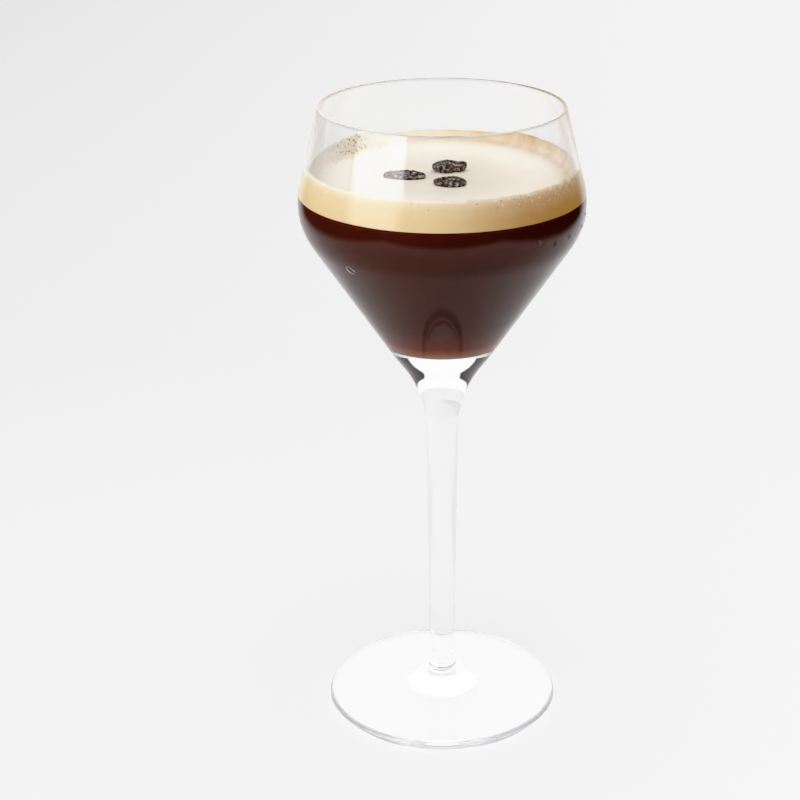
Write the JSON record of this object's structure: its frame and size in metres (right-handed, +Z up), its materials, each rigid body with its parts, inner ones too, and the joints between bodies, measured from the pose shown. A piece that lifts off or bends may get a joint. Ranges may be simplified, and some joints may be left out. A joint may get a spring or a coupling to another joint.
{
  "type": "espresso martini cocktail in a stemmed glass",
  "caption": "Stemmed cocktail glass holding a dark coffee drink under a thick pale foam head, with roasted coffee beans lying on the foam.",
  "frame": {"origin": "centre of the foot on the surface that the glass stands on", "axes": "+Z up along the stem, -Y towards the viewer, +X to the viewer's right"},
  "size_m": [0.0826, 0.0826, 0.19],
  "materials": {
    "clear_glass": "clear colourless soda-lime glass, fire-polished, with tiny droplets outside",
    "coffee_drink": "near-black coffee drink, red-brown where light comes through at the foot of the bowl",
    "coffee_foam": "fine wet foam, cream white on top and tan against the glass",
    "roasted_bean": "dark roasted coffee bean, wrinkled and slightly oily"
  },
  "bodies": {
    "root": {"glass": "clear_glass", "coffee": "coffee_drink", "foam": "coffee_foam", "bean_left": "roasted_bean", "bean_back": "roasted_bean", "bean_front": "roasted_bean"}
  },
  "joints": []
}
